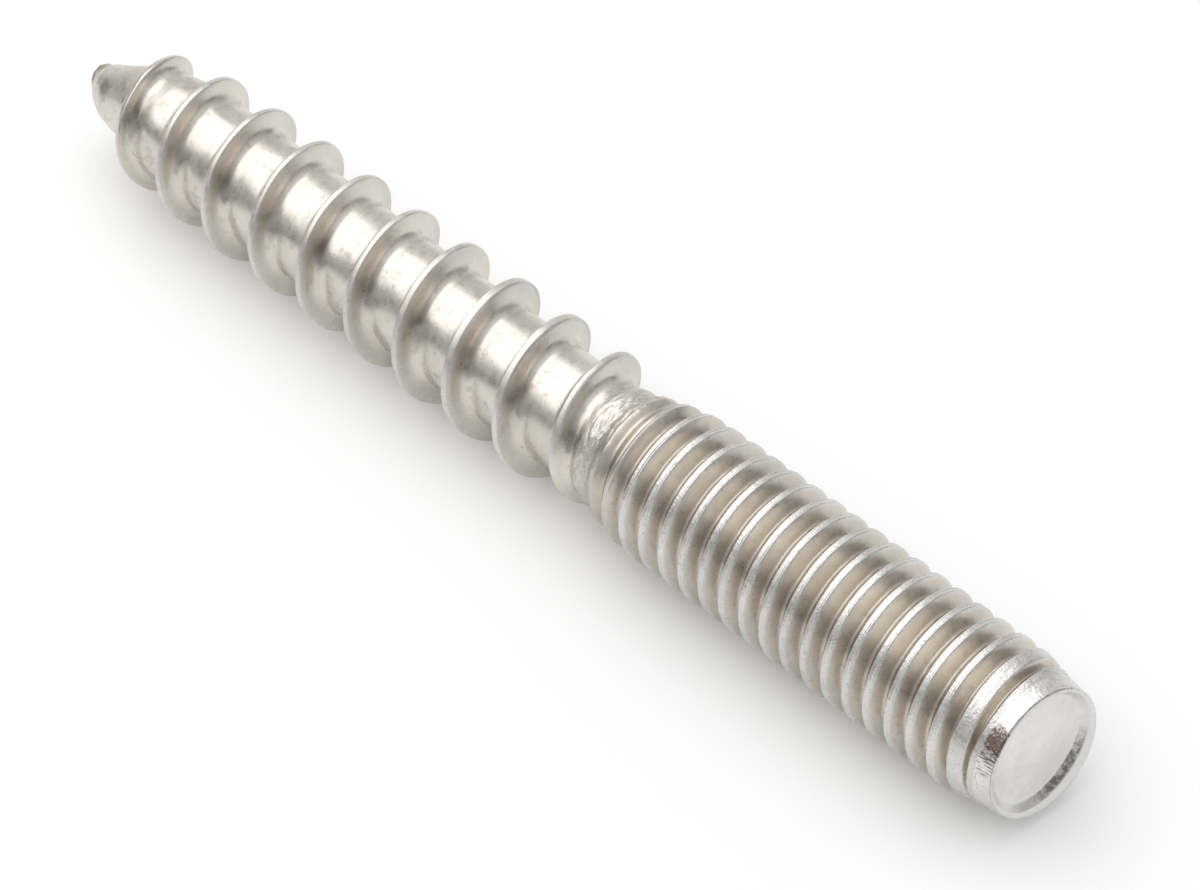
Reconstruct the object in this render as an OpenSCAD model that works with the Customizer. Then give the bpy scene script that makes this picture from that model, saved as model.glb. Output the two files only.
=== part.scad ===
// Hanger bolt: one piece of stainless steel with a coarse wood thread and a
// blunt point at -X, and a metric machine thread with a chamfered, slightly
// dished end at +X.
// It lies along X on z = 0, and X = 0 is half-way along it. Lengths are in mm.

/* [Overall] */
// Length from the blunt point to the machine end
bolt_length = 50; // [44:1:70]
// Length of the machine-threaded part, its run-out included
machine_length = 21.8; // [16:0.2:26]

/* [Machine thread] */
// Diameter over the machine crests
machine_d = 5.88; // [5.7:0.02:6.1]
// Diameter at the bottom of the machine grooves
machine_root_d = 4.86; // [4.7:0.02:4.96]
// Advance of the machine thread per turn
machine_pitch = 1; // [0.95:0.01:1.2]
// Width of the flat on the machine crest
machine_crest_w = 0.22; // [0.12:0.01:0.3]
// Width of the flat at the bottom of the machine groove
machine_root_w = 0.16; // [0.14:0.01:0.3]
// Length over which the machine ridge grows to its full height
machine_runout = 3.6; // [2:0.1:5]
// Direction in which the machine crest would meet the end face, degrees from +Y
machine_end_turn = 100; // [0:1:359]

/* [Machine end] */
// Diameter over the rim of the end face
end_rim_d = 4.98; // [4.8:0.02:5.2]
// Width of the rim
end_rim_w = 0.2; // [0.1:0.02:0.4]
// Depth of the dished middle of the end face
end_dish_depth = 0.18; // [0.1:0.02:0.3]
// Slope of the wall of the dish against the end face, degrees
end_dish_slope = 40; // [25:1:60]
// Slope of the end chamfer against the axis, degrees
end_chamfer_slope = 12; // [8:1:45]
// Length of the band at the end that has no groove
end_band = 1.2; // [0.8:0.05:1.6]

/* [Wood thread] */
// Diameter over the wood crests
wood_d = 5.94; // [5.6:0.02:6.4]
// Diameter of the core between the wood flights
wood_core_d = 4.24; // [3.9:0.02:4.5]
// Advance of the wood thread per turn
wood_pitch = 2.7; // [2.4:0.05:3.4]
// Width of the wood crest
wood_crest_w = 0.24; // [0.16:0.01:0.36]
// Width of a flight where its hollow flanks turn out to the core
wood_waist_w = 0.54; // [0.4:0.01:0.7]
// Height of that waist above the core
wood_waist_h = 0.3; // [0.2:0.01:0.45]
// Width of a flight at the core
wood_foot_w = 1.16; // [0.9:0.02:1.5]
// Length over which the last flight sinks to the core
wood_fade = 2.7; // [1:0.1:4]
// Length by which the last flight runs on into the machine thread
wood_overlap = 1.7; // [0.2:0.1:2.2]
// Direction in which the wood crest would pass the point, degrees from +Y
wood_tip_turn = 351; // [0:1:359]

/* [Point] */
// Diameter of the blunt point
tip_d = 0.8; // [0.6:0.1:1.4]
// Diameter behind the steep nose
nose_d = 2.1; // [1.6:0.1:2.6]
// Length of the nose
nose_length = 0.9; // [0.6:0.1:1.1]
// Distance from the point at which the core has its full diameter
tip_length = 4.7; // [3.5:0.1:6]
// Distance from the point at which the first flight leaves the cone
flight_start = 1.8; // [1.1:0.1:2.4]
// Length over which the first flight rises from the cone
flight_entry = 1.2; // [0.8:0.1:1.6]
// Diameter over the first flight where its rise ends
flight_entry_d = 4.6; // [4.2:0.1:5.2]
// Distance from the point at which the flights reach their full diameter
flight_full = 6.6; // [5:0.1:8]

/* [Neck] */
// Length over which the core widens from the wood thread to the machine roots
neck_length = 2.8; // [1:0.1:4]

/* [Hidden] */
// Steps per turn of the two helices: a flat, not a corner, points straight down
turn_steps = 30;
step_angle = 360 / turn_steps;
// Facets around the turned surfaces
turned_facets = 120;
// Depth to which the ridges are rooted in the core
ridge_root = 0.08;
// Length by which the threads are made too long before the end is trimmed
end_spare = 0.6;
steel = [0.74, 0.72, 0.69];

machine_r = machine_d / 2;
machine_root_r = machine_root_d / 2;
machine_depth = machine_r - machine_root_r;
machine_flank = (machine_pitch - machine_crest_w - machine_root_w) / 2;
wood_r = wood_d / 2;
wood_core_r = wood_core_d / 2;
wood_depth = wood_r - wood_core_r;
end_rim_r = end_rim_d / 2;
dish_top_r = end_rim_r - end_rim_w;
dish_r = dish_top_r - end_dish_depth / tan(end_dish_slope);
tip_r = tip_d / 2;
nose_r = nose_d / 2;

// Stations along the bolt
tip_x = -bolt_length / 2;
end_x = bolt_length / 2;
nose_x = tip_x + nose_length;
cone_x = tip_x + tip_length;
machine_x = end_x - machine_length;
neck_x = machine_x + neck_length;
band_x = end_x - end_band;
trim_x = end_x + end_spare;

// The bolt rests on the flats under its widest thread
axis_z = max(machine_r, wood_r) * cos(step_angle / 2);

// Radius of the core that the ridges are seated on
core_line = [
    [tip_x, tip_r],
    [nose_x, nose_r],
    [cone_x, wood_core_r],
    [machine_x, wood_core_r],
    [neck_x, machine_root_r],
    [band_x, machine_root_r],
];
function core_r(x) = lookup(x, core_line);

// Radius of the band without a groove, before the chamfer
band_line = [
    [band_x + machine_flank, machine_r],
    [trim_x, machine_r],
];

// Height of the machine crest over the core: it rises out of the neck
machine_crest_line = [
    [machine_x, wood_core_r - ridge_root / 2],
    [machine_x + machine_runout, machine_r],
];
function machine_crest_h(x) = lookup(x, machine_crest_line) - core_r(x);

// Height of the wood crest over the core: a quick entry, a slow taper, a fade
flight_x = tip_x + flight_start;
entry_x = flight_x + flight_entry;
full_x = tip_x + flight_full;
stop_x = machine_x + wood_overlap;
fade_x = stop_x - wood_fade;
wood_crest_line = [
    [flight_x, core_r(flight_x) - ridge_root / 2],
    [entry_x, flight_entry_d / 2],
    [full_x, wood_r],
    [fade_x, wood_r],
    [stop_x, core_r(stop_x) - ridge_root / 2],
];
function wood_crest_h(x) = lookup(x, wood_crest_line) - core_r(x);

// Place of a helix at a turn, from one known crossing
function helix_x(turn, pitch, x0, turn0) = x0 + pitch * (turn - turn0) / 360;
// Turns of the stations between two places along a helix
function helix_turns(x_from, x_to, pitch, x0, turn0) =
    let (
        first = ceil((turn0 + 360 * (x_from - x0) / pitch) / step_angle),
        last = floor((turn0 + 360 * (x_to - x0) / pitch) / step_angle)
    )
    [for (k = [first : last]) k * step_angle];

// Point at a place along the bolt, at a radius and a turn about the axis
function around(x, r, turn) = [x, r * cos(turn), r * sin(turn)];

// Outline of a ridge from a row of [offset, height], seated on the core
function outline_at(x, turn, row) =
    [for (p = row) around(x + p[0], core_r(x + p[0]) + p[1], turn)];

// Outline of the machine ridge: 60 degree flanks, cut off flat at the crest
function machine_outline(x, turn) =
    let (
        height = machine_crest_h(x),
        crest_half = machine_crest_w / 2,
        base_half = crest_half + machine_flank * (1 + ridge_root / machine_depth)
    )
    outline_at(x, turn, [
        [-base_half, -ridge_root],
        [-crest_half, height],
        [crest_half, height],
        [base_half, -ridge_root],
    ]);

// Outline of a wood flight: a thin crest over hollow flanks, seated on the core
function wood_outline(x, turn) =
    let (
        height = wood_crest_h(x),
        waist = wood_waist_h * height / wood_depth,
        spread = (wood_foot_w - wood_waist_w) / 2 / wood_waist_h,
        base_half = wood_foot_w / 2 + ridge_root * spread,
        waist_half = wood_waist_w / 2,
        crest_half = wood_crest_w / 2
    )
    outline_at(x, turn, [
        [-base_half, -ridge_root],
        [-waist_half, waist],
        [-crest_half, height],
        [crest_half, height],
        [waist_half, waist],
        [base_half, -ridge_root],
    ]);

// Solid swept through a row of outlines, with a cap at each end
module swept(outlines) {
    n = len(outlines[0]);
    last = len(outlines) - 1;
    points = [for (outline = outlines) each outline];
    sides = [
        for (i = [0 : last - 1], j = [0 : n - 1])
        let (
            a = i * n + j,
            b = i * n + (j + 1) % n
        )
        each [[a, b, b + n], [a, b + n, a + n]]
    ];
    first_cap = [for (j = [n - 1 : -1 : 0]) j];
    last_cap = [for (j = [0 : n - 1]) last * n + j];
    polyhedron(points, concat([first_cap, last_cap], sides));
}

module machine_ridge() {
    ridge_x = band_x + machine_pitch / 2;
    turns = helix_turns(machine_x, ridge_x, machine_pitch, end_x, machine_end_turn);
    swept([
        for (turn = turns)
        machine_outline(helix_x(turn, machine_pitch, end_x, machine_end_turn), turn)
    ]);
}

module wood_ridge() {
    turns = helix_turns(flight_x, stop_x, wood_pitch, tip_x, wood_tip_turn);
    swept([
        for (turn = turns)
        wood_outline(helix_x(turn, wood_pitch, tip_x, wood_tip_turn), turn)
    ]);
}

// Solid of revolution about X from a line of [x, radius]
module turned(line) {
    x_first = line[0][0];
    x_last = line[len(line) - 1][0];
    outline = concat(
        [[0, x_first]],
        [for (p = line) [p[1], p[0]]],
        [[0, x_last]]
    );
    rotate([0, 90, 0])
        rotate_extrude($fn = turned_facets)
            polygon(outline);
}

// Space that the dished end face and its chamfer leave to the bolt
module end_limit() {
    wide_r = 2 * max(machine_r, wood_r);
    turned([
        [tip_x - end_spare, wide_r],
        [end_x - (wide_r - end_rim_r) / tan(end_chamfer_slope), wide_r],
        [end_x, end_rim_r],
        [end_x, dish_top_r],
        [end_x - end_dish_depth, dish_r],
    ]);
}

module hanger_bolt() {
    color(steel)
        translate([0, 0, axis_z])
            intersection() {
                union() {
                    turned(concat(core_line, band_line));
                    machine_ridge();
                    wood_ridge();
                }
                end_limit();
            }
}

hanger_bolt();
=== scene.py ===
import math

import bpy
import numpy as np
from mathutils import Matrix


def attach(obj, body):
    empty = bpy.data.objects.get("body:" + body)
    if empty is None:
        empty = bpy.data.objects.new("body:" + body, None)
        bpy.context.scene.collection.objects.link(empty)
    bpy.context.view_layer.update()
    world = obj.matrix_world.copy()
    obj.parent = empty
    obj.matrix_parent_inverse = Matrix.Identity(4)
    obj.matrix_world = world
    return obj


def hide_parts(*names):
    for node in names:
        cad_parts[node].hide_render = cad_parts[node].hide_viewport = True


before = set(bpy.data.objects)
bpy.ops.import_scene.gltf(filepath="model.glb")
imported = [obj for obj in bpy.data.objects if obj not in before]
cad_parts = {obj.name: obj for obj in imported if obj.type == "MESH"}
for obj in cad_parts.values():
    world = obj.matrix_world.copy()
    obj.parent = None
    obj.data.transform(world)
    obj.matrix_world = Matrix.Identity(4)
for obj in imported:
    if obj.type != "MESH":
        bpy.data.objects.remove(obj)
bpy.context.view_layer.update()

# The bolt is in mm along X, and turns are degrees about its axis, from +Y towards +Z
MM = 0.001

# Sizes shared with the CAD source
BOLT_LENGTH = 50.0
MACHINE_LENGTH = 21.8
MACHINE_R = 2.94
MACHINE_ROOT_R = 2.43
MACHINE_PITCH = 1.0
MACHINE_RUNOUT = 3.6
MACHINE_END_TURN = 100.0
WOOD_CORE_R = 2.12
WOOD_PITCH = 2.7
WOOD_FADE = 2.7
WOOD_OVERLAP = 1.7
WOOD_TIP_TURN = 351.0
FLIGHT_START = 1.8
FLIGHT_ENTRY = 1.2
NECK_LENGTH = 2.8

# Places along the axis, and its height as the bolt lies
TIP_X = -BOLT_LENGTH / 2
END_X = BOLT_LENGTH / 2
MACHINE_X = END_X - MACHINE_LENGTH
MACHINE_FULL_X = MACHINE_X + MACHINE_RUNOUT
NECK_X = MACHINE_X + NECK_LENGTH
WOOD_STOP = MACHINE_X + WOOD_OVERLAP
FLIGHT_X = TIP_X + FLIGHT_START
AXIS_Z = 2.9537

# Least gap over the floor, and the least downward share of a direction for which it is kept
FLOOR_GAP = 0.002
LEAST_DOWN = 0.2

# Machine end, closer to the photo than the CAD source: plain band, rim, skew of the cut and dish
END_BAND = 1.4
BAND_X = END_X - END_BAND
BAND_RISE = 0.3
RIM_R = 2.48
RIM_DROP = 0.155
RIM_SKEW = 0.28
RIM_SKEW_TURN = 114.0
LIP_W = 0.03
LIP_DROP = 0.004
DISH_DEPTH = 0.23

# Direction that faces the camera
FRONT_TURN = 125.7

# Torn start of the machine thread: place, angles between which it fades, share of height it takes
TORN_X = 4.5
TORN_REACH = 1.1
TORN_TURN = 134.0
TORN_SIDE = (50.0, 105.0)
TORN_LOSS = 0.45

# Direction in which the blunt point is bent
LEAN_TURN = 215.7

# The wood flights near the middle stand out more on one side
OFF_CENTRE = 0.06
OFF_CENTRE_X = -1.5
OFF_CENTRE_REACH = 5.0
OFF_CENTRE_TURN = 50.0

# Half the width of a machine crest, and how much wider the chamfer leaves the last ones
CREST_HALF = 0.14
CREST_SPREAD = 0.9
SPREAD_X = END_X - 1.9
SPREAD_REACH = 0.9

# Heights of the unevenness, the highest nick that counts, and the share the machine thread lacks
SWAY_H = 0.009
DENT_H = 0.009
TEAR_H = 0.014
TORN_NICK_H = 0.017
CHAMFER_NICK_H = 0.005
NICK_LIMIT = 0.6
MACHINE_EVEN = 0.6

# Where the unevenness sets in behind the tip, and where the nicks of the chamfer set in and end
UNEVEN_START = (TIP_X + 0.3, TIP_X + 1.0)
NICKS_START = (END_X - 3.0, END_X - 2.0)
NICKS_END = (END_X - 0.5, END_X - 0.2)

# Dents of the blunt point: share of its radius, and how much finer they are than elsewhere
POINT_DENT = 0.03
POINT_DENT_FINER = 3

# Painted shade, tinted brown, in the fillet behind the wood flights: middle and reach around the bolt
# and along it from the crest
FILLET_SHADE_TURN = 137.0
FILLET_SHADE_TURN_REACH = 28.0
FILLET_SHADE_OFFSET = 0.4
FILLET_SHADE_REACH = 0.38

# Brown patch and scratches on the chamfer: middle and reach around the bolt and along it
PATCH_TURN = 139.0
PATCH_TURN_REACH = 20.0
PATCH_START = (BAND_X + 0.05, BAND_X + 0.6)
SCRATCH_TURN = 157.0
SCRATCH_TURN_REACH = 21.0
SCRATCH_X = BAND_X + 0.7
SCRATCH_REACH = 0.6

# Limits between which the other masks of the material fade, where sink is the depth below the rim
FACE_SINK = (0.3, 0.35)
FACE_R = (RIM_R - 0.02, RIM_R + 0.01)
WALL_TOP_SINK = (0.01, 0.045)
WALL_FOOT_SINK = (DISH_DEPTH - 0.03, DISH_DEPTH - 0.004)
WALL_SIDE = (25.0, 60.0)
CHAMFER_START = (BAND_X + BAND_RISE, BAND_X + BAND_RISE + 0.1)
EDGE_SINK = 0.045
EDGE_REACH = 0.035
EDGE_SIDE = (40.0, 95.0)
MACHINE_START = (MACHINE_X + 0.5, MACHINE_X + 1.5)
MACHINE_CREST_DROP = (0.07, 0.015)
WOOD_CREST_R = (2.5, 2.75)
GROOVE_H = 0.42
NOSE_END = (TIP_X + 0.1, TIP_X + 0.8)

# Rows of pairs, joined by straight lines. The core: place and radius
CORE_ROW = (
    (TIP_X, 0.3),
    (TIP_X + 0.06, 0.42),
    (TIP_X + 0.2, 0.55),
    (TIP_X + 0.44, 0.71),
    (TIP_X + 0.83, 0.95),
    (TIP_X + 1.3, 1.15),
    (TIP_X + 2.5, 1.58),
    (TIP_X + 3.8, 1.95),
    (TIP_X + 4.9, WOOD_CORE_R),
    (MACHINE_X, WOOD_CORE_R),
    (MACHINE_X + 0.4, WOOD_CORE_R + 0.05),
    (NECK_X - 0.3, MACHINE_ROOT_R - 0.02),
    (NECK_X, MACHINE_ROOT_R),
)

# Crests of both threads: place and radius
WOOD_CREST_ROW = (
    (FLIGHT_X, 1.3),
    (FLIGHT_X + FLIGHT_ENTRY, 2.3),
    (TIP_X + 4.8, 2.78),
    (-16.0, 2.9),
    (-8.6, 2.92),
    (-5.7, 2.97),
    (-3.2, 3.01),
    (-0.5, 3.03),
    (WOOD_STOP - WOOD_FADE, 2.97),
    (WOOD_STOP - 1.1, 2.56),
    (WOOD_STOP, WOOD_CORE_R),
)
MACHINE_CREST_ROW = (
    (MACHINE_X, WOOD_CORE_R - 0.02),
    (MACHINE_FULL_X - 0.4, MACHINE_R - 0.07),
    (MACHINE_FULL_X + 0.4, MACHINE_R),
)

# Half sections of both threads: distance from the crest and share of the height
WOOD_SECTION = (
    (0.0, 1.0), (0.08, 1.0), (0.115, 0.985), (0.14, 0.93), (0.2, 0.64), (0.27, 0.36), (0.34, 0.21),
    (0.44, 0.085), (0.58, 0.0),
)
MACHINE_SECTION = (
    (0.0, 0.95), (0.05, 0.965), (0.09, 1.0), (0.115, 0.985), (CREST_HALF, 0.92), (0.25, 0.565),
    (0.35, 0.24), (0.4, 0.105), (0.45, 0.025), (0.5, 0.0),
)

# Band and chamfer of the machine end, and its lip, which follows the skewed rim
BAND_ROW = ((BAND_X, MACHINE_ROOT_R), (BAND_X + BAND_RISE, MACHINE_R))
CHAMFER_ROW = (
    (-2.7, 2.97), (-2.2, 2.88), (-1.9, 2.82), (-1.2, 2.66), (-0.7, 2.57), (-0.2, 2.51), (0.2, 2.48),
)
LIP_ROW = ((-0.3, 3.0), (-0.05, 2.54), (-0.015, 2.51), (0.0, RIM_R))

# Bend of the blunt point: distance from the tip and sideways offset
LEAN_ROW = ((0.0, 0.05), (0.5, 0.18), (1.0, 0.26), (1.5, 0.24), (2.2, 0.1), (3.0, 0.0))

# Mesh: segments around the bolt
SEGMENTS = 128
TURNS = np.arange(SEGMENTS) * 360.0 / SEGMENTS
COS_TURNS = np.cos(np.radians(TURNS))
SIN_TURNS = np.sin(np.radians(TURNS))

# Mesh lines that follow the threads: distances from a crest, over half the pitch of each thread
WOOD_LINES = np.array([0.0, 0.08, 0.115, 0.14, 0.2, 0.27, 0.34, 0.44, 0.58, 0.8, 1.06, 1.34])
MACHINE_LINES = np.array([0.0, 0.05, 0.09, 0.115, 0.14, 0.2, 0.27, 0.35, 0.4, 0.435, 0.47, 0.5])
HALF = len(WOOD_LINES) - 1
LINES = 2 * HALF
BEND_X = MACHINE_X - 1.2
SPARE_TURNS = 2

# Those lines lie between two plain rings, which take up what comes nearer than the gap
LOW_X = TIP_X + 1.1
HIGH_X = END_X - 1.75
LINE_GAP = 0.004

# Rings of the ends: shares of the way from the plain ring to the rim or to the tip
END_SHARES = np.concatenate([np.linspace(0.0, 0.965, 46)[1:], [0.98, 0.992, 1.0]])
POINT_SHARES = np.concatenate([np.linspace(0.0, 0.88, 16)[1:], [0.92, 0.95, 0.975, 0.99, 1.0]])

# Cap of the blunt point: distance beyond the tip and radius of its rings, and its middle
CAP_RINGS = ((0.01, 0.22), (0.015, 0.12))
CAP_MIDDLE = 0.016

# Dish: shares of the wall's width and depth, then shares of the floor's radius
DISH_WALL = ((0, 0), (0.06, 0.05), (0.2, 0.2), (0.8, 0.83), (1, 0.96), (1.3, 1))
DISH_FLOOR = (0.8, 0.55, 0.28)

# Widths of the dish's rim and wall towards the camera, and what they gain on the far side
RIM_W = 0.07
RIM_W_GAIN = 0.43
WALL_W = 0.16
WALL_W_GAIN = 0.2

rng = np.random.default_rng(7)


def smooth(x, a, b):
    t = np.clip((x - a) / (b - a), 0.0, 1.0)
    return t * t * (3.0 - 2.0 * t)


def bump(x, centre, half):
    return smooth(x, centre - half, centre) * (1.0 - smooth(x, centre, centre + half))


def angle_off(turn, centre):
    return (turn - centre + 180.0) % 360.0 - 180.0


# One around a direction, fading to nothing between two angles from it
def side(turn, centre, full, none):
    return 1.0 - smooth(np.abs(angle_off(turn, centre)), full, none)


# Value at a place on a row of pairs
def along(x, row, **ends):
    return np.interp(x, [a for a, _ in row], [b for _, b in row], **ends)


# Smooth seeded noise over length and turn, periodic around the bolt
class Ripple:
    def __init__(self, waves, lengthwise, around):
        self.k = rng.uniform(-1.0, 1.0, waves) * lengthwise
        self.m = rng.integers(0, around + 1, waves)
        self.phase = rng.uniform(0.0, 2.0 * math.pi, waves)
        self.gain = math.sqrt(2.0 / waves)

    def __call__(self, x, turn):
        total = 0.0
        for k, m, phase in zip(self.k, self.m, self.phase):
            total = total + np.sin(k * x + m * np.radians(turn) + phase)
        return total * self.gain


sway = Ripple(waves=8, lengthwise=1.2, around=2)
tear = Ripple(waves=24, lengthwise=26.0, around=30)
dent = Ripple(waves=10, lengthwise=5.0, around=9)
nick = Ripple(waves=30, lengthwise=40.0, around=44)


def core_radius(x):
    return along(x, CORE_ROW)


# Sideways offset of the blunt point, which is bent a little
def lean(x):
    off = along(x - TIP_X, LEAN_ROW)
    turn = math.radians(LEAN_TURN)
    return off * math.cos(turn), off * math.sin(turn)


# Share of the torn surface, on the side towards the camera
def torn(x, turn):
    return bump(x, TORN_X, TORN_REACH) * side(turn, TORN_TURN, *TORN_SIDE)


# Distance from the nearest crest of a helix
def crest_offset(x, turn, pitch, x0, turn0):
    place = x - x0 - pitch * (turn - turn0) / 360.0
    return (place / pitch + 0.5) % 1.0 * pitch - 0.5 * pitch


def wood_offset(x, turn):
    return crest_offset(x, turn, WOOD_PITCH, TIP_X, WOOD_TIP_TURN)


def wood_height(x, turn):
    crest = along(x, WOOD_CREST_ROW, left=0.0)
    aside = np.cos(np.radians(turn - OFF_CENTRE_TURN))
    crest = crest + OFF_CENTRE * bump(x, OFF_CENTRE_X, OFF_CENTRE_REACH) * aside
    top = np.maximum(crest - core_radius(x), 0.0)
    return top * along(np.abs(wood_offset(x, turn)), WOOD_SECTION)


def machine_height(x, turn):
    crest = along(x, MACHINE_CREST_ROW, left=0.0)
    top = np.maximum(crest - core_radius(x), 0.0)
    d = np.abs(crest_offset(x, turn, MACHINE_PITCH, END_X, MACHINE_END_TURN))
    half = MACHINE_PITCH / 2
    wide = 1.0 + CREST_SPREAD * bump(x, SPREAD_X, SPREAD_REACH)
    flank = half - (half - d) * (half - CREST_HALF) / (half - CREST_HALF * wide)
    d = np.where(d < CREST_HALF * wide, d / wide, flank)
    return top * along(d, MACHINE_SECTION) * (1.0 - TORN_LOSS * torn(x, turn))


# The machine end is cut a little askew: its rim lies lower on the side towards the camera
def rim_drop(turn, r=RIM_R):
    return RIM_DROP + RIM_SKEW * r / RIM_R * np.cos(np.radians(turn - RIM_SKEW_TURN))


# Radius left by the long chamfer and the rim of the machine end
def end_limit(x, turn):
    return np.minimum(along(x - END_X, CHAMFER_ROW), along(x + rim_drop(turn) - END_X, LIP_ROW))


# Outer radius of the bolt, with its unevenness and without what would sink into the floor
def radius(x, turn):
    x = np.asarray(x, dtype=float)
    r = core_radius(x) + np.maximum(wood_height(x, turn), machine_height(x, turn))
    r = np.maximum(r, along(x, BAND_ROW, left=0.0))
    uneven = 1.0 - MACHINE_EVEN * smooth(x, MACHINE_X, NECK_X)
    shape = uneven * (SWAY_H * sway(x, turn) + DENT_H * dent(x, turn))
    shape = shape + torn(x, turn) * (TEAR_H * tear(x, turn) + TORN_NICK_H * nick(x, turn))
    shape = shape * smooth(x, *UNEVEN_START)
    nicks = CHAMFER_NICK_H * np.minimum(nick(x, turn), NICK_LIMIT)
    nicks = nicks * (1.0 - smooth(x, *NICKS_END)) * smooth(x, *NICKS_START)
    r = np.minimum(r + shape, end_limit(x, turn) + nicks)
    down = np.maximum(-np.sin(np.radians(turn)), LEAST_DOWN)
    return np.minimum(r, (AXIS_Z - FLOOR_GAP) / down)


# Crest line of the mesh, over turns: the wood helix, a bend of one turn, then the machine helix
def crest_line():
    t_first = WOOD_TIP_TURN / 360.0
    t_end = MACHINE_END_TURN / 360.0
    t_a = (BEND_X - TIP_X) / WOOD_PITCH + t_first
    t_b = t_a + 1.0

    def wood_at(t):
        return TIP_X + WOOD_PITCH * (t - t_first)

    middle = wood_at(t_a) + 0.5 * (WOOD_PITCH + MACHINE_PITCH)
    phase = END_X + MACHINE_PITCH * (t_b - t_end)
    shift = round((phase - middle) / MACHINE_PITCH) * MACHINE_PITCH

    def machine_at(t):
        return END_X + MACHINE_PITCH * (t - t_end) - shift

    def at(t):
        u = np.clip(t - t_a, 0.0, 1.0)
        a, b = wood_at(t_a), machine_at(t_b)
        bend = (
            (2 * u**3 - 3 * u**2 + 1) * a + (u**3 - 2 * u**2 + u) * WOOD_PITCH
            + (-2 * u**3 + 3 * u**2) * b + (u**3 - u**2) * MACHINE_PITCH
        )
        return np.where(t <= t_a, wood_at(t), np.where(t >= t_b, machine_at(t), bend))

    def kind(t):
        return smooth(t, t_a, t_b)

    t_last = shift / MACHINE_PITCH + t_end
    return at, kind, t_first, t_last


# Places of the mesh lines along the bolt: one row for each line, one value for each segment
def thread_rows():
    at, kind, t_first, t_last = crest_line()

    def reach(i, share):
        return WOOD_LINES[i] * (1 - share) + MACHINE_LINES[i] * share

    rows = []
    for n in range(math.floor(t_first) - SPARE_TURNS, math.ceil(t_last) + SPARE_TURNS):
        t = n + TURNS / 360.0
        here, there = at(t), at(t + 1.0)
        k0, k1 = kind(t), kind(t + 1.0)
        last0, last1 = reach(-1, k0), reach(-1, k1)
        fit = np.minimum(1.0, (there - here) / (last0 + last1))
        rows += [here + reach(i, k0) * fit for i in range(HALF)]
        rows.append(0.5 * (here + last0 * fit + there - last1 * fit))
        rows += [there - reach(i, k1) * fit for i in range(HALF - 1, 0, -1)]
    return np.array(rows)


# Points and faces of one closed surface, in mm about the axis
class Surface:
    def __init__(self):
        self.points = []
        self.faces = []

    def add_point(self, x, r, j):
        self.points.append((x, r * COS_TURNS[j], r * SIN_TURNS[j]))
        return len(self.points) - 1

    def add_ring(self, x, r):
        x = np.broadcast_to(x, TURNS.shape)
        r = np.broadcast_to(r, TURNS.shape)
        return [self.add_point(x[j], r[j], j) for j in range(SEGMENTS)]

    # A face without the corners that fall together, where three are left
    def add_face(self, *loop):
        corners = list(dict.fromkeys(loop))
        if len(corners) >= 3:
            self.faces.append(tuple(reversed(corners)))

    # The second ring lies further towards the machine end
    def join(self, ring_a, ring_b):
        for j in range(SEGMENTS):
            k = (j + 1) % SEGMENTS
            self.add_face(ring_a[j], ring_b[j], ring_b[k], ring_a[k])

    # A fan that faces the machine end, or the tip where the ring is given in reverse
    def close(self, ring, x):
        centre = self.add_point(x, 0.0, 0)
        for j in range(SEGMENTS):
            self.add_face(ring[j], centre, ring[(j + 1) % SEGMENTS])


# Both threads, between the two plain rings that it returns
def add_threads(surface):
    low_ring = surface.add_ring(LOW_X, radius(np.full(SEGMENTS, LOW_X), TURNS))
    high_ring = surface.add_ring(HIGH_X, radius(np.full(SEGMENTS, HIGH_X), TURNS))
    xs = thread_rows()
    radii = radius(xs, np.broadcast_to(TURNS, xs.shape))
    ids = np.empty(xs.shape, dtype=int)
    for i, j in np.ndindex(xs.shape):
        if xs[i, j] <= LOW_X + LINE_GAP:
            ids[i, j] = low_ring[j]
        elif xs[i, j] >= HIGH_X - LINE_GAP:
            ids[i, j] = high_ring[j]
        else:
            ids[i, j] = surface.add_point(xs[i, j], radii[i, j], j)

    # After a full turn a line goes on as the same line of the next turn
    def id_at(i, j):
        return ids[i, j] if j < SEGMENTS else ids[i + LINES, 0]

    for i in range(len(xs) - LINES - 1):
        for j in range(SEGMENTS):
            surface.add_face(id_at(i, j), id_at(i + 1, j), id_at(i + 1, j + 1), id_at(i, j + 1))
    return low_ring, high_ring


# Chamfer, rim, dish wall and dish floor
def add_machine_end(surface, ring):
    rim_x = END_X - rim_drop(TURNS)
    rings = []
    for share in END_SHARES:
        x = HIGH_X + (rim_x - HIGH_X) * share
        rings.append((x, radius(x, TURNS)))

    far = 0.5 - 0.5 * np.cos(np.radians(TURNS - FRONT_TURN))
    rim_w = RIM_W + RIM_W_GAIN * far**3
    wall_w = WALL_W + WALL_W_GAIN * far
    floor_r = RIM_R - rim_w - DISH_WALL[-1][0] * wall_w
    dish = [(LIP_W, 0.0)]
    dish += [(rim_w + wall_w * across, deep) for across, deep in DISH_WALL]
    dish += [(RIM_R - floor_r * share, 1.0) for share in DISH_FLOOR]
    for inset, deep in dish:
        r = RIM_R - inset
        rings.append((END_X - rim_drop(TURNS, r) - LIP_DROP - DISH_DEPTH * deep, r))

    for x, r in rings:
        new = surface.add_ring(x, r)
        surface.join(ring, new)
        ring = new
    surface.close(ring, END_X - RIM_DROP - LIP_DROP - DISH_DEPTH)


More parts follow.
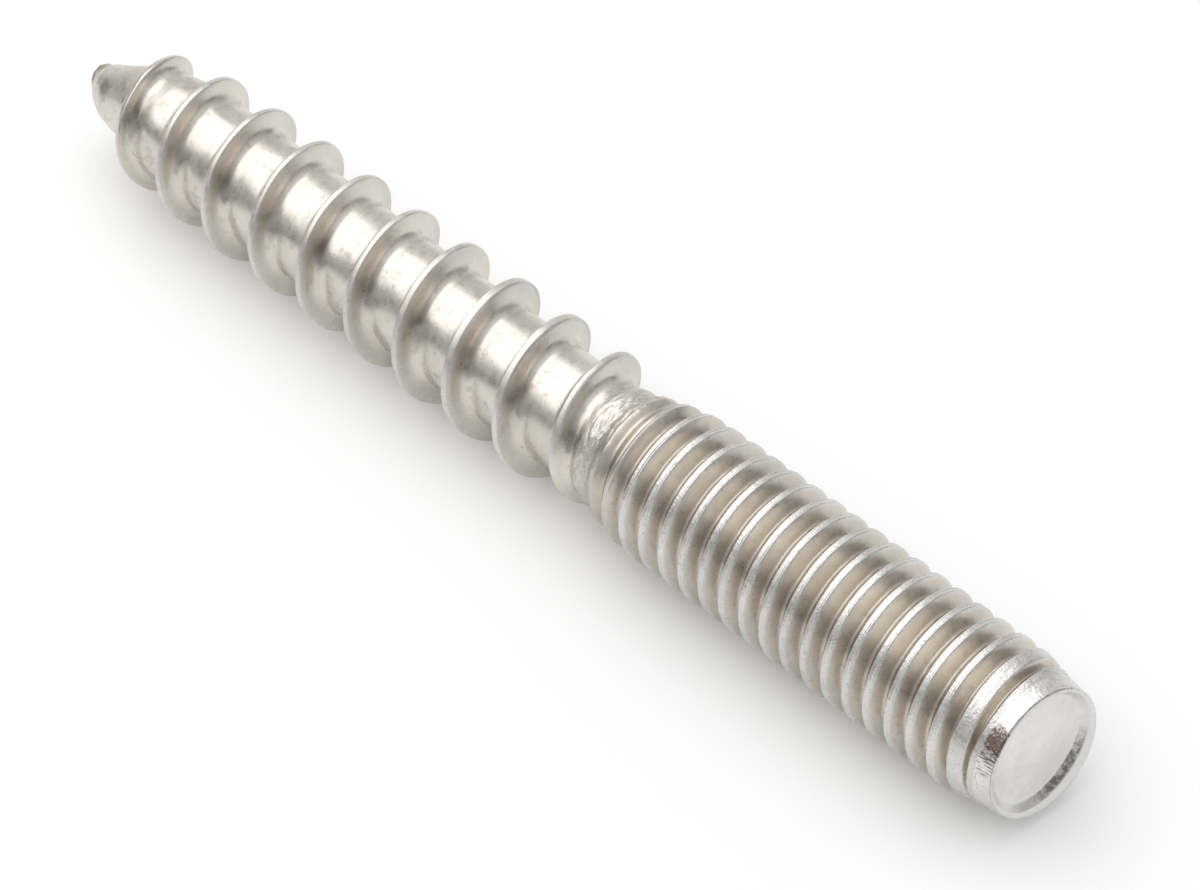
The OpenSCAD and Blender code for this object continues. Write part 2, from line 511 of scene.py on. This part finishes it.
# A steep nose with a small cap
def add_blunt_point(surface, ring):
    rings = []
    for share in POINT_SHARES:
        x = LOW_X + (TIP_X - LOW_X) * share
        dented = 1 + POINT_DENT * smooth(share, 0.0, 1.0) * dent(x * POINT_DENT_FINER, TURNS)
        rings.append((x, radius(np.full(SEGMENTS, x), TURNS) * dented))
    rings += [(TIP_X - beyond, r) for beyond, r in CAP_RINGS]
    for x, r in rings:
        new = surface.add_ring(x, r)
        surface.join(new, ring)
        ring = new
    surface.close(ring[::-1], TIP_X - CAP_MIDDLE)


# Masks for the material, one value for each point of the mesh
def surface_marks(place):
    x, y, z = place[:, 0], place[:, 1], place[:, 2]
    r = np.hypot(y, z)
    turn = np.degrees(np.arctan2(z, y)) % 360.0
    machine = smooth(x, *MACHINE_START)

    # Machine end: face, far side of the dish wall for painted shade, chamfer, and the edge between face
    # and chamfer for a painted shadow line
    sink = END_X - rim_drop(turn, r) - x
    face = (1.0 - smooth(sink, *FACE_SINK)) * (1.0 - smooth(r, *FACE_R))
    wall = face * smooth(sink, *WALL_TOP_SINK) * (1.0 - smooth(sink, *WALL_FOOT_SINK))
    wall = wall * side(turn, FRONT_TURN + 180.0, *WALL_SIDE)
    chamfer = smooth(x, *CHAMFER_START) * (1.0 - face)
    edge_shadow = chamfer * bump(sink, EDGE_SINK, EDGE_REACH) * side(turn, FRONT_TURN, *EDGE_SIDE)
    body = (1.0 - chamfer) * (1.0 - face)

    # Threads: crests, grooves and the foot behind each wood flight, which takes painted shade
    top = np.minimum(MACHINE_R, end_limit(x, turn))
    crest_low, crest_high = (top - drop for drop in MACHINE_CREST_DROP)
    crest = np.where(machine > 0.5, smooth(r, crest_low, crest_high), smooth(r, *WOOD_CREST_R))
    deep = 1.0 - smooth(r, core_radius(x), core_radius(x) + GROOVE_H)
    foot = bump(wood_offset(x, turn), FILLET_SHADE_OFFSET, FILLET_SHADE_REACH) * (1.0 - machine)

    # Brown patch and scratches on the chamfer
    patch = bump(turn, PATCH_TURN, PATCH_TURN_REACH) * smooth(x, *PATCH_START)
    scratch = bump(turn, SCRATCH_TURN, SCRATCH_TURN_REACH) * bump(x, SCRATCH_X, SCRATCH_REACH)
    return {
        "crest": crest * body,
        "deep": deep * body,
        "machine": machine,
        "face": face,
        "wall": wall,
        "chamfer": chamfer,
        "edge_shadow": edge_shadow,
        "scar": torn(x, turn),
        "fillet_shade": foot * bump(angle_off(turn, FILLET_SHADE_TURN), 0.0, FILLET_SHADE_TURN_REACH),
        "patch": chamfer * patch,
        "scratch": chamfer * scratch,
        "nose": 1.0 - smooth(x, *NOSE_END),
    }


def bolt_mesh():
    surface = Surface()
    low_ring, high_ring = add_threads(surface)
    add_machine_end(surface, high_ring)
    add_blunt_point(surface, low_ring)

    used = sorted({v for face in surface.faces for v in face})
    renumber = {v: i for i, v in enumerate(used)}
    faces = [tuple(renumber[v] for v in face) for face in surface.faces]
    place = np.array([surface.points[v] for v in used])
    lean_y, lean_z = lean(place[:, 0])
    coords = (place + np.stack([np.zeros(len(place)), lean_y, lean_z + AXIS_Z], axis=1)) * MM

    mesh = bpy.data.meshes.new("hanger_bolt_steel")
    mesh.from_pydata(coords.tolist(), [], faces)
    mesh.validate()
    mesh.polygons.foreach_set("use_smooth", [True] * len(mesh.polygons))
    mesh.update()
    for name, values in surface_marks(place).items():
        layer = mesh.attributes.new(name, "FLOAT", "POINT")
        layer.data.foreach_set("value", np.ascontiguousarray(values, dtype=np.float32))
    return mesh


# Short names for the nodes of one material or world
class Graph:
    def __init__(self, tree):
        self.nodes, self.links = tree.nodes, tree.links

    def set(self, socket, value):
        if isinstance(value, bpy.types.NodeSocket):
            self.links.new(value, socket)
        elif value is not None:
            socket.default_value = value

    def math(self, op, a, b=None, c=None, clamp=False):
        node = self.nodes.new("ShaderNodeMath")
        node.operation = op
        node.use_clamp = clamp
        for socket, value in zip(node.inputs, (a, b, c)):
            self.set(socket, value)
        return node.outputs[0]

    def times(self, a, b):
        return self.math("MULTIPLY", a, b)

    def most(self, a, b):
        return self.math("MAXIMUM", a, b)

    # The total and an amount of something more
    def plus(self, total, more, amount):
        return self.math("MULTIPLY_ADD", more, amount, total)

    def mix(self, share, a, b, blend="MIX"):
        node = self.nodes.new("ShaderNodeMix")
        node.data_type = "RGBA"
        node.blend_type = blend
        self.set(node.inputs["Factor"], share)
        self.set(node.inputs["A"], a)
        self.set(node.inputs["B"], b)
        return node.outputs["Result"]

    def ramp(self, value, low, high, to_low=0.0, to_high=1.0):
        node = self.nodes.new("ShaderNodeMapRange")
        node.interpolation_type = "SMOOTHSTEP"
        self.set(node.inputs["Value"], value)
        limits = {"From Min": low, "From Max": high, "To Min": to_low, "To Max": to_high}
        for name, number in limits.items():
            node.inputs[name].default_value = number
        return node.outputs["Result"]

    def mark(self, name):
        node = self.nodes.new("ShaderNodeAttribute")
        node.attribute_name = name
        return node.outputs["Fac"]

    # Noise over the object in mm, with its own number of waves per mm along each axis
    def noise(self, waves, detail, offset):
        coords = self.nodes.new("ShaderNodeTexCoord")
        scale = self.nodes.new("ShaderNodeMapping")
        scale.inputs["Location"].default_value = (offset, offset, offset)
        scale.inputs["Scale"].default_value = tuple(w / MM for w in waves)
        self.links.new(coords.outputs["Object"], scale.inputs["Vector"])
        node = self.nodes.new("ShaderNodeTexNoise")
        node.inputs["Scale"].default_value = 1.0
        node.inputs["Detail"].default_value = detail
        self.links.new(scale.outputs["Vector"], node.inputs["Vector"])
        return node.outputs["Fac"]


# Colours of the steel, of what lies on it and of painted shade
WOOD_STEEL = (0.68, 0.637, 0.572, 1)
MACHINE_STEEL = (0.62, 0.58, 0.525, 1)
GROOVE = (0.54, 0.49, 0.42, 1)
WOOD_CREST = (0.69, 0.665, 0.62, 1)
BRIGHT = (0.79, 0.78, 0.755, 1)
MACHINE_CREST = (0.66, 0.65, 0.625, 1)
BLOTCH = (0.36, 0.32, 0.275, 1)
# Painted shade, tinted brown, for the fillet behind each wood flight
FILLET_SHADE_COLOUR = (0.16, 0.135, 0.11, 1)
PIT = (0.27, 0.25, 0.235, 1)
RUST = (0.2, 0.135, 0.11, 1)
# Dark scratches on the chamfer, and painted shade on the far dish wall and along the edge between face
# and chamfer
SCRATCH_AND_SHADE = (0.12, 0.11, 0.105, 1)
GRIME = (0.2, 0.17, 0.125, 1)

# How strongly some of them cover the steel
SCAR_BRIGHT = 0.4
MACHINE_CREST_SHARE = 0.7
BLOTCH_SHARE = 0.45
PIT_SHARE = 0.45
RUST_SHARE = 0.92
SCRATCH_AND_SHADE_SHARE = 0.85

# Noises: waves per mm along each axis, detail and offset
BROAD = ((0.5, 0.5, 0.5), 3.0, 0.0)
MOTTLE = ((2.6, 2.6, 2.6), 4.0, 3.0)
SPECKLE = ((11.0, 11.0, 11.0), 2.0, 7.0)
STREAK = ((0.3, 15.0, 15.0), 2.0, 12.0)
DRAWN = ((1.0, 6.0, 6.0), 3.0, 13.0)
BRUSHED = ((9.0, 7.0, 1.2), 3.0, 17.0)

# Least and greatest roughness of plain steel, strength of the relief and its depth in mm
ROUGHNESS = (0.24, 0.38)
RELIEF_STRENGTH = 0.5
RELIEF_DEPTH = 0.03


def steel_material():
    mat = bpy.data.materials.new("stainless_steel")
    mat.use_nodes = True
    g = Graph(mat.node_tree)
    shader = g.nodes["Principled BSDF"]

    # Masks of the mesh and noises
    crest, deep, machine = g.mark("crest"), g.mark("deep"), g.mark("machine")
    face, wall, chamfer = g.mark("face"), g.mark("wall"), g.mark("chamfer")
    edge_shadow, scar, fillet_shade = g.mark("edge_shadow"), g.mark("scar"), g.mark("fillet_shade")
    patch, scratch, nose = g.mark("patch"), g.mark("scratch"), g.mark("nose")
    broad, mottle, speckle = g.noise(*BROAD), g.noise(*MOTTLE), g.noise(*SPECKLE)
    streak, drawn, brushed = g.noise(*STREAK), g.noise(*DRAWN), g.noise(*BRUSHED)
    machine_crest = g.times(crest, machine)
    wood_crest = g.math("SUBTRACT", crest, machine_crest)
    rugged = g.most(machine_crest, g.most(scar, chamfer))

    # Colour: warm in the grooves, neutral on machine crests, end face and chamfer
    colour = g.mix(machine, WOOD_STEEL, MACHINE_STEEL)
    colour = g.mix(g.times(deep, machine), colour, GROOVE)
    colour = g.mix(wood_crest, colour, WOOD_CREST)
    neutral = g.most(machine_crest, g.most(face, chamfer))
    neutral = g.most(neutral, g.times(scar, SCAR_BRIGHT))
    colour = g.mix(neutral, colour, BRIGHT)
    colour = g.mix(g.times(machine_crest, MACHINE_CREST_SHARE), colour, MACHINE_CREST)

    # Uneven tone
    broad_tone = g.ramp(broad, 0.3, 0.7, 0.92, 1.05)
    tone = g.times(broad_tone, g.ramp(mottle, 0.25, 0.75, 0.93, 1.05))
    tones = g.nodes.new("ShaderNodeCombineColor")
    for socket in tones.inputs:
        g.set(socket, tone)
    colour = g.mix(1.0, colour, tones.outputs[0], "MULTIPLY")

    # Blotches in the grooves, painted shade tinted brown beside the wood flights and pits on rugged
    # metal
    blotch = g.times(g.ramp(mottle, 0.56, 0.7), g.times(deep, BLOTCH_SHARE))
    colour = g.mix(blotch, colour, BLOTCH)
    fillet_shade_share = g.times(fillet_shade, g.ramp(broad, 0.38, 0.58, 0.4, 1.0))
    colour = g.mix(fillet_shade_share, colour, FILLET_SHADE_COLOUR)
    pits = g.times(g.ramp(speckle, 0.58, 0.7), g.plus(rugged, wood_crest, 0.7))
    colour = g.mix(g.times(pits, PIT_SHARE), colour, PIT)

    # Brown patch and scratches on the chamfer, streaked painted shade on the far dish wall and a painted
    # shadow line along the edge, dirt on the point
    rust_edge = g.plus(speckle, patch, -0.25)
    rust = g.times(g.ramp(patch, 0.1, 0.6), g.ramp(rust_edge, 0.5, 0.34))
    colour = g.mix(g.times(rust, RUST_SHARE), colour, RUST)
    scratch_and_shade = g.times(g.ramp(scratch, 0.15, 0.6), g.ramp(streak, 0.5, 0.6))
    scratch_and_shade = g.most(scratch_and_shade, g.times(wall, g.ramp(drawn, 0.65, 0.4, 0.3, 0.95)))
    scratch_and_shade = g.most(scratch_and_shade, g.times(edge_shadow, 0.75))
    colour = g.mix(g.times(scratch_and_shade, SCRATCH_AND_SHADE_SHARE), colour, SCRATCH_AND_SHADE)
    grime = g.times(nose, g.ramp(mottle, 0.35, 0.6, 0.6, 0.95))
    colour = g.mix(grime, colour, GRIME)
    g.set(shader.inputs["Base Color"], colour)

    # Roughness
    rough = g.ramp(mottle, 0.3, 0.7, *ROUGHNESS)
    for mark, more in ((machine_crest, 0.02), (wood_crest, 0.1), (face, 0.1), (scar, 0.12), (nose, 0.2)):
        rough = g.plus(rough, mark, more)
    g.set(shader.inputs["Roughness"], rough)
    shader.inputs["Metallic"].default_value = 1.0

    # Bump: fine grain everywhere, coarser on crests, chamfer and the torn neck
    height = g.times(speckle, g.plus(0.16, rugged, 1.1))
    height = g.plus(height, mottle, g.plus(0.5, face, -0.4))
    height = g.plus(height, g.times(brushed, face), 0.5)
    height = g.plus(height, g.times(streak, scratch), 0.9)
    relief = g.nodes.new("ShaderNodeBump")
    relief.inputs["Strength"].default_value = RELIEF_STRENGTH
    relief.inputs["Distance"].default_value = RELIEF_DEPTH * MM
    g.set(relief.inputs["Height"], height)
    g.set(shader.inputs["Normal"], relief.outputs["Normal"])
    return mat


def add_object(name, data):
    thing = bpy.data.objects.new(name, data)
    bpy.context.scene.collection.objects.link(thing)
    return thing


# Matrix of an object from its axes and its place
def placed(x, y, z, place):
    rows = [(x[i], y[i], z[i], place[i]) for i in range(3)]
    return Matrix(rows + [(0.0, 0.0, 0.0, 1.0)])


bolt = add_object("bolt", bolt_mesh())
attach(bolt, "root")
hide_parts("hanger_bolt")
bolt.data.materials.append(steel_material())

# Floor, in metres
FLOOR_HALF = 2
FLOOR_PAPER = (0.95, 0.95, 0.95, 1.0)
FLOOR_ROUGHNESS = 0.9
FLOOR_WHITE = 0.15


def floor_mesh():
    mesh = bpy.data.meshes.new("floor")
    corners = [(a * FLOOR_HALF, b * FLOOR_HALF, 0) for a, b in ((-1, -1), (1, -1), (1, 1), (-1, 1))]
    mesh.from_pydata(corners, [], [(0, 1, 2, 3)])
    return mesh


# Pale paper, partly its own white to the camera and to reflections, so that its shadow stays soft
def paper_material():
    mat = bpy.data.materials.new("floor_paper")
    mat.use_nodes = True
    g = Graph(mat.node_tree)
    paper = g.nodes["Principled BSDF"]
    paper.inputs["Base Color"].default_value = FLOOR_PAPER
    paper.inputs["Roughness"].default_value = FLOOR_ROUGHNESS
    white = g.nodes.new("ShaderNodeEmission")
    ray = g.nodes.new("ShaderNodeLightPath")
    seen = g.math("ADD", ray.outputs["Is Camera Ray"], ray.outputs["Is Glossy Ray"])
    seen = g.math("ADD", seen, ray.outputs["Is Transmission Ray"], clamp=True)
    blend = g.nodes.new("ShaderNodeMixShader")
    g.set(blend.inputs["Fac"], g.times(seen, FLOOR_WHITE))
    g.links.new(paper.outputs[0], blend.inputs[1])
    g.links.new(white.outputs[0], blend.inputs[2])
    g.links.new(blend.outputs[0], g.nodes["Material Output"].inputs["Surface"])
    return mat


floor = add_object("floor", floor_mesh())
floor.data.materials.append(paper_material())

# Camera, fitted to the photo: its axes, its place in metres and its focal length in pixels
CAMERA_RIGHT = (0.691886589, 0.722006197, 0.0)
CAMERA_UP = (-0.5021416, 0.48119398, 0.71854448)
CAMERA_BACK = (0.51879357, -0.49715129, 0.695481)
CAMERA_PLACE = (0.09692, -0.08988289507, 0.12808528402)
FOCAL_PIXELS = 5000.0
PHOTO_WIDTH = 1200.0
SENSOR_WIDTH = 36.0
CLIP_START = 0.01

cam_data = bpy.data.cameras.new("camera")
cam_data.sensor_width = SENSOR_WIDTH
cam_data.lens = FOCAL_PIXELS / PHOTO_WIDTH * SENSOR_WIDTH
cam_data.clip_start = CLIP_START
camera = add_object("camera", cam_data)
camera.matrix_world = placed(CAMERA_RIGHT, CAMERA_UP, CAMERA_BACK, CAMERA_PLACE)
bpy.context.scene.camera = camera

# Light: a dome that is dark at the horizon but for a pale backdrop on the far side, and a soft box
DOME = ((0.0, 0.26), (0.12, 0.3), (0.35, 0.5), (0.7, 0.8), (1.0, 0.9))
AWAY_X = -0.72
AWAY_Y = 0.69
FAR_START = 0.3
FAR_FULL = 0.95
FAR_LEVEL = 0.75
BOX_PLACE = (-0.19, -0.04, 0.42)
BOX_SIZE = (0.72, 0.5)
BOX_POWER = 1.28


def studio_world():
    world = bpy.data.worlds.new("studio")
    world.use_nodes = True
    g = Graph(world.node_tree)
    coords = g.nodes.new("ShaderNodeTexCoord")
    split = g.nodes.new("ShaderNodeSeparateXYZ")
    dome = g.nodes.new("ShaderNodeValToRGB")
    g.links.new(coords.outputs["Generated"], split.inputs[0])
    g.links.new(split.outputs["Z"], dome.inputs[0])
    stops = dome.color_ramp.elements
    while len(stops) < len(DOME):
        stops.new(0.5)
    for stop, (height, grey) in zip(stops, DOME):
        stop.position = height
        stop.color = (grey, grey, grey, 1.0)
    away = g.plus(g.times(split.outputs["X"], AWAY_X), split.outputs["Y"], AWAY_Y)
    level = g.most(dome.outputs[0], g.ramp(away, FAR_START, FAR_FULL, 0.0, FAR_LEVEL))
    g.set(g.nodes["Background"].inputs["Color"], level)
    return world


# A rectangular light that faces the origin
def area_light(name, place, size, power):
    data = bpy.data.lights.new(name, "AREA")
    data.shape = "RECTANGLE"
    data.size, data.size_y = size
    data.energy = power
    z = np.array(place) / np.linalg.norm(place)
    x = np.cross((0.0, 0.0, 1.0), z)
    x = x / np.linalg.norm(x)
    add_object(name, data).matrix_world = placed(x, np.cross(z, x), z, place)


bpy.context.scene.world = studio_world()
area_light("soft_box", BOX_PLACE, BOX_SIZE, BOX_POWER)
bpy.context.scene.view_settings.view_transform = "Standard"
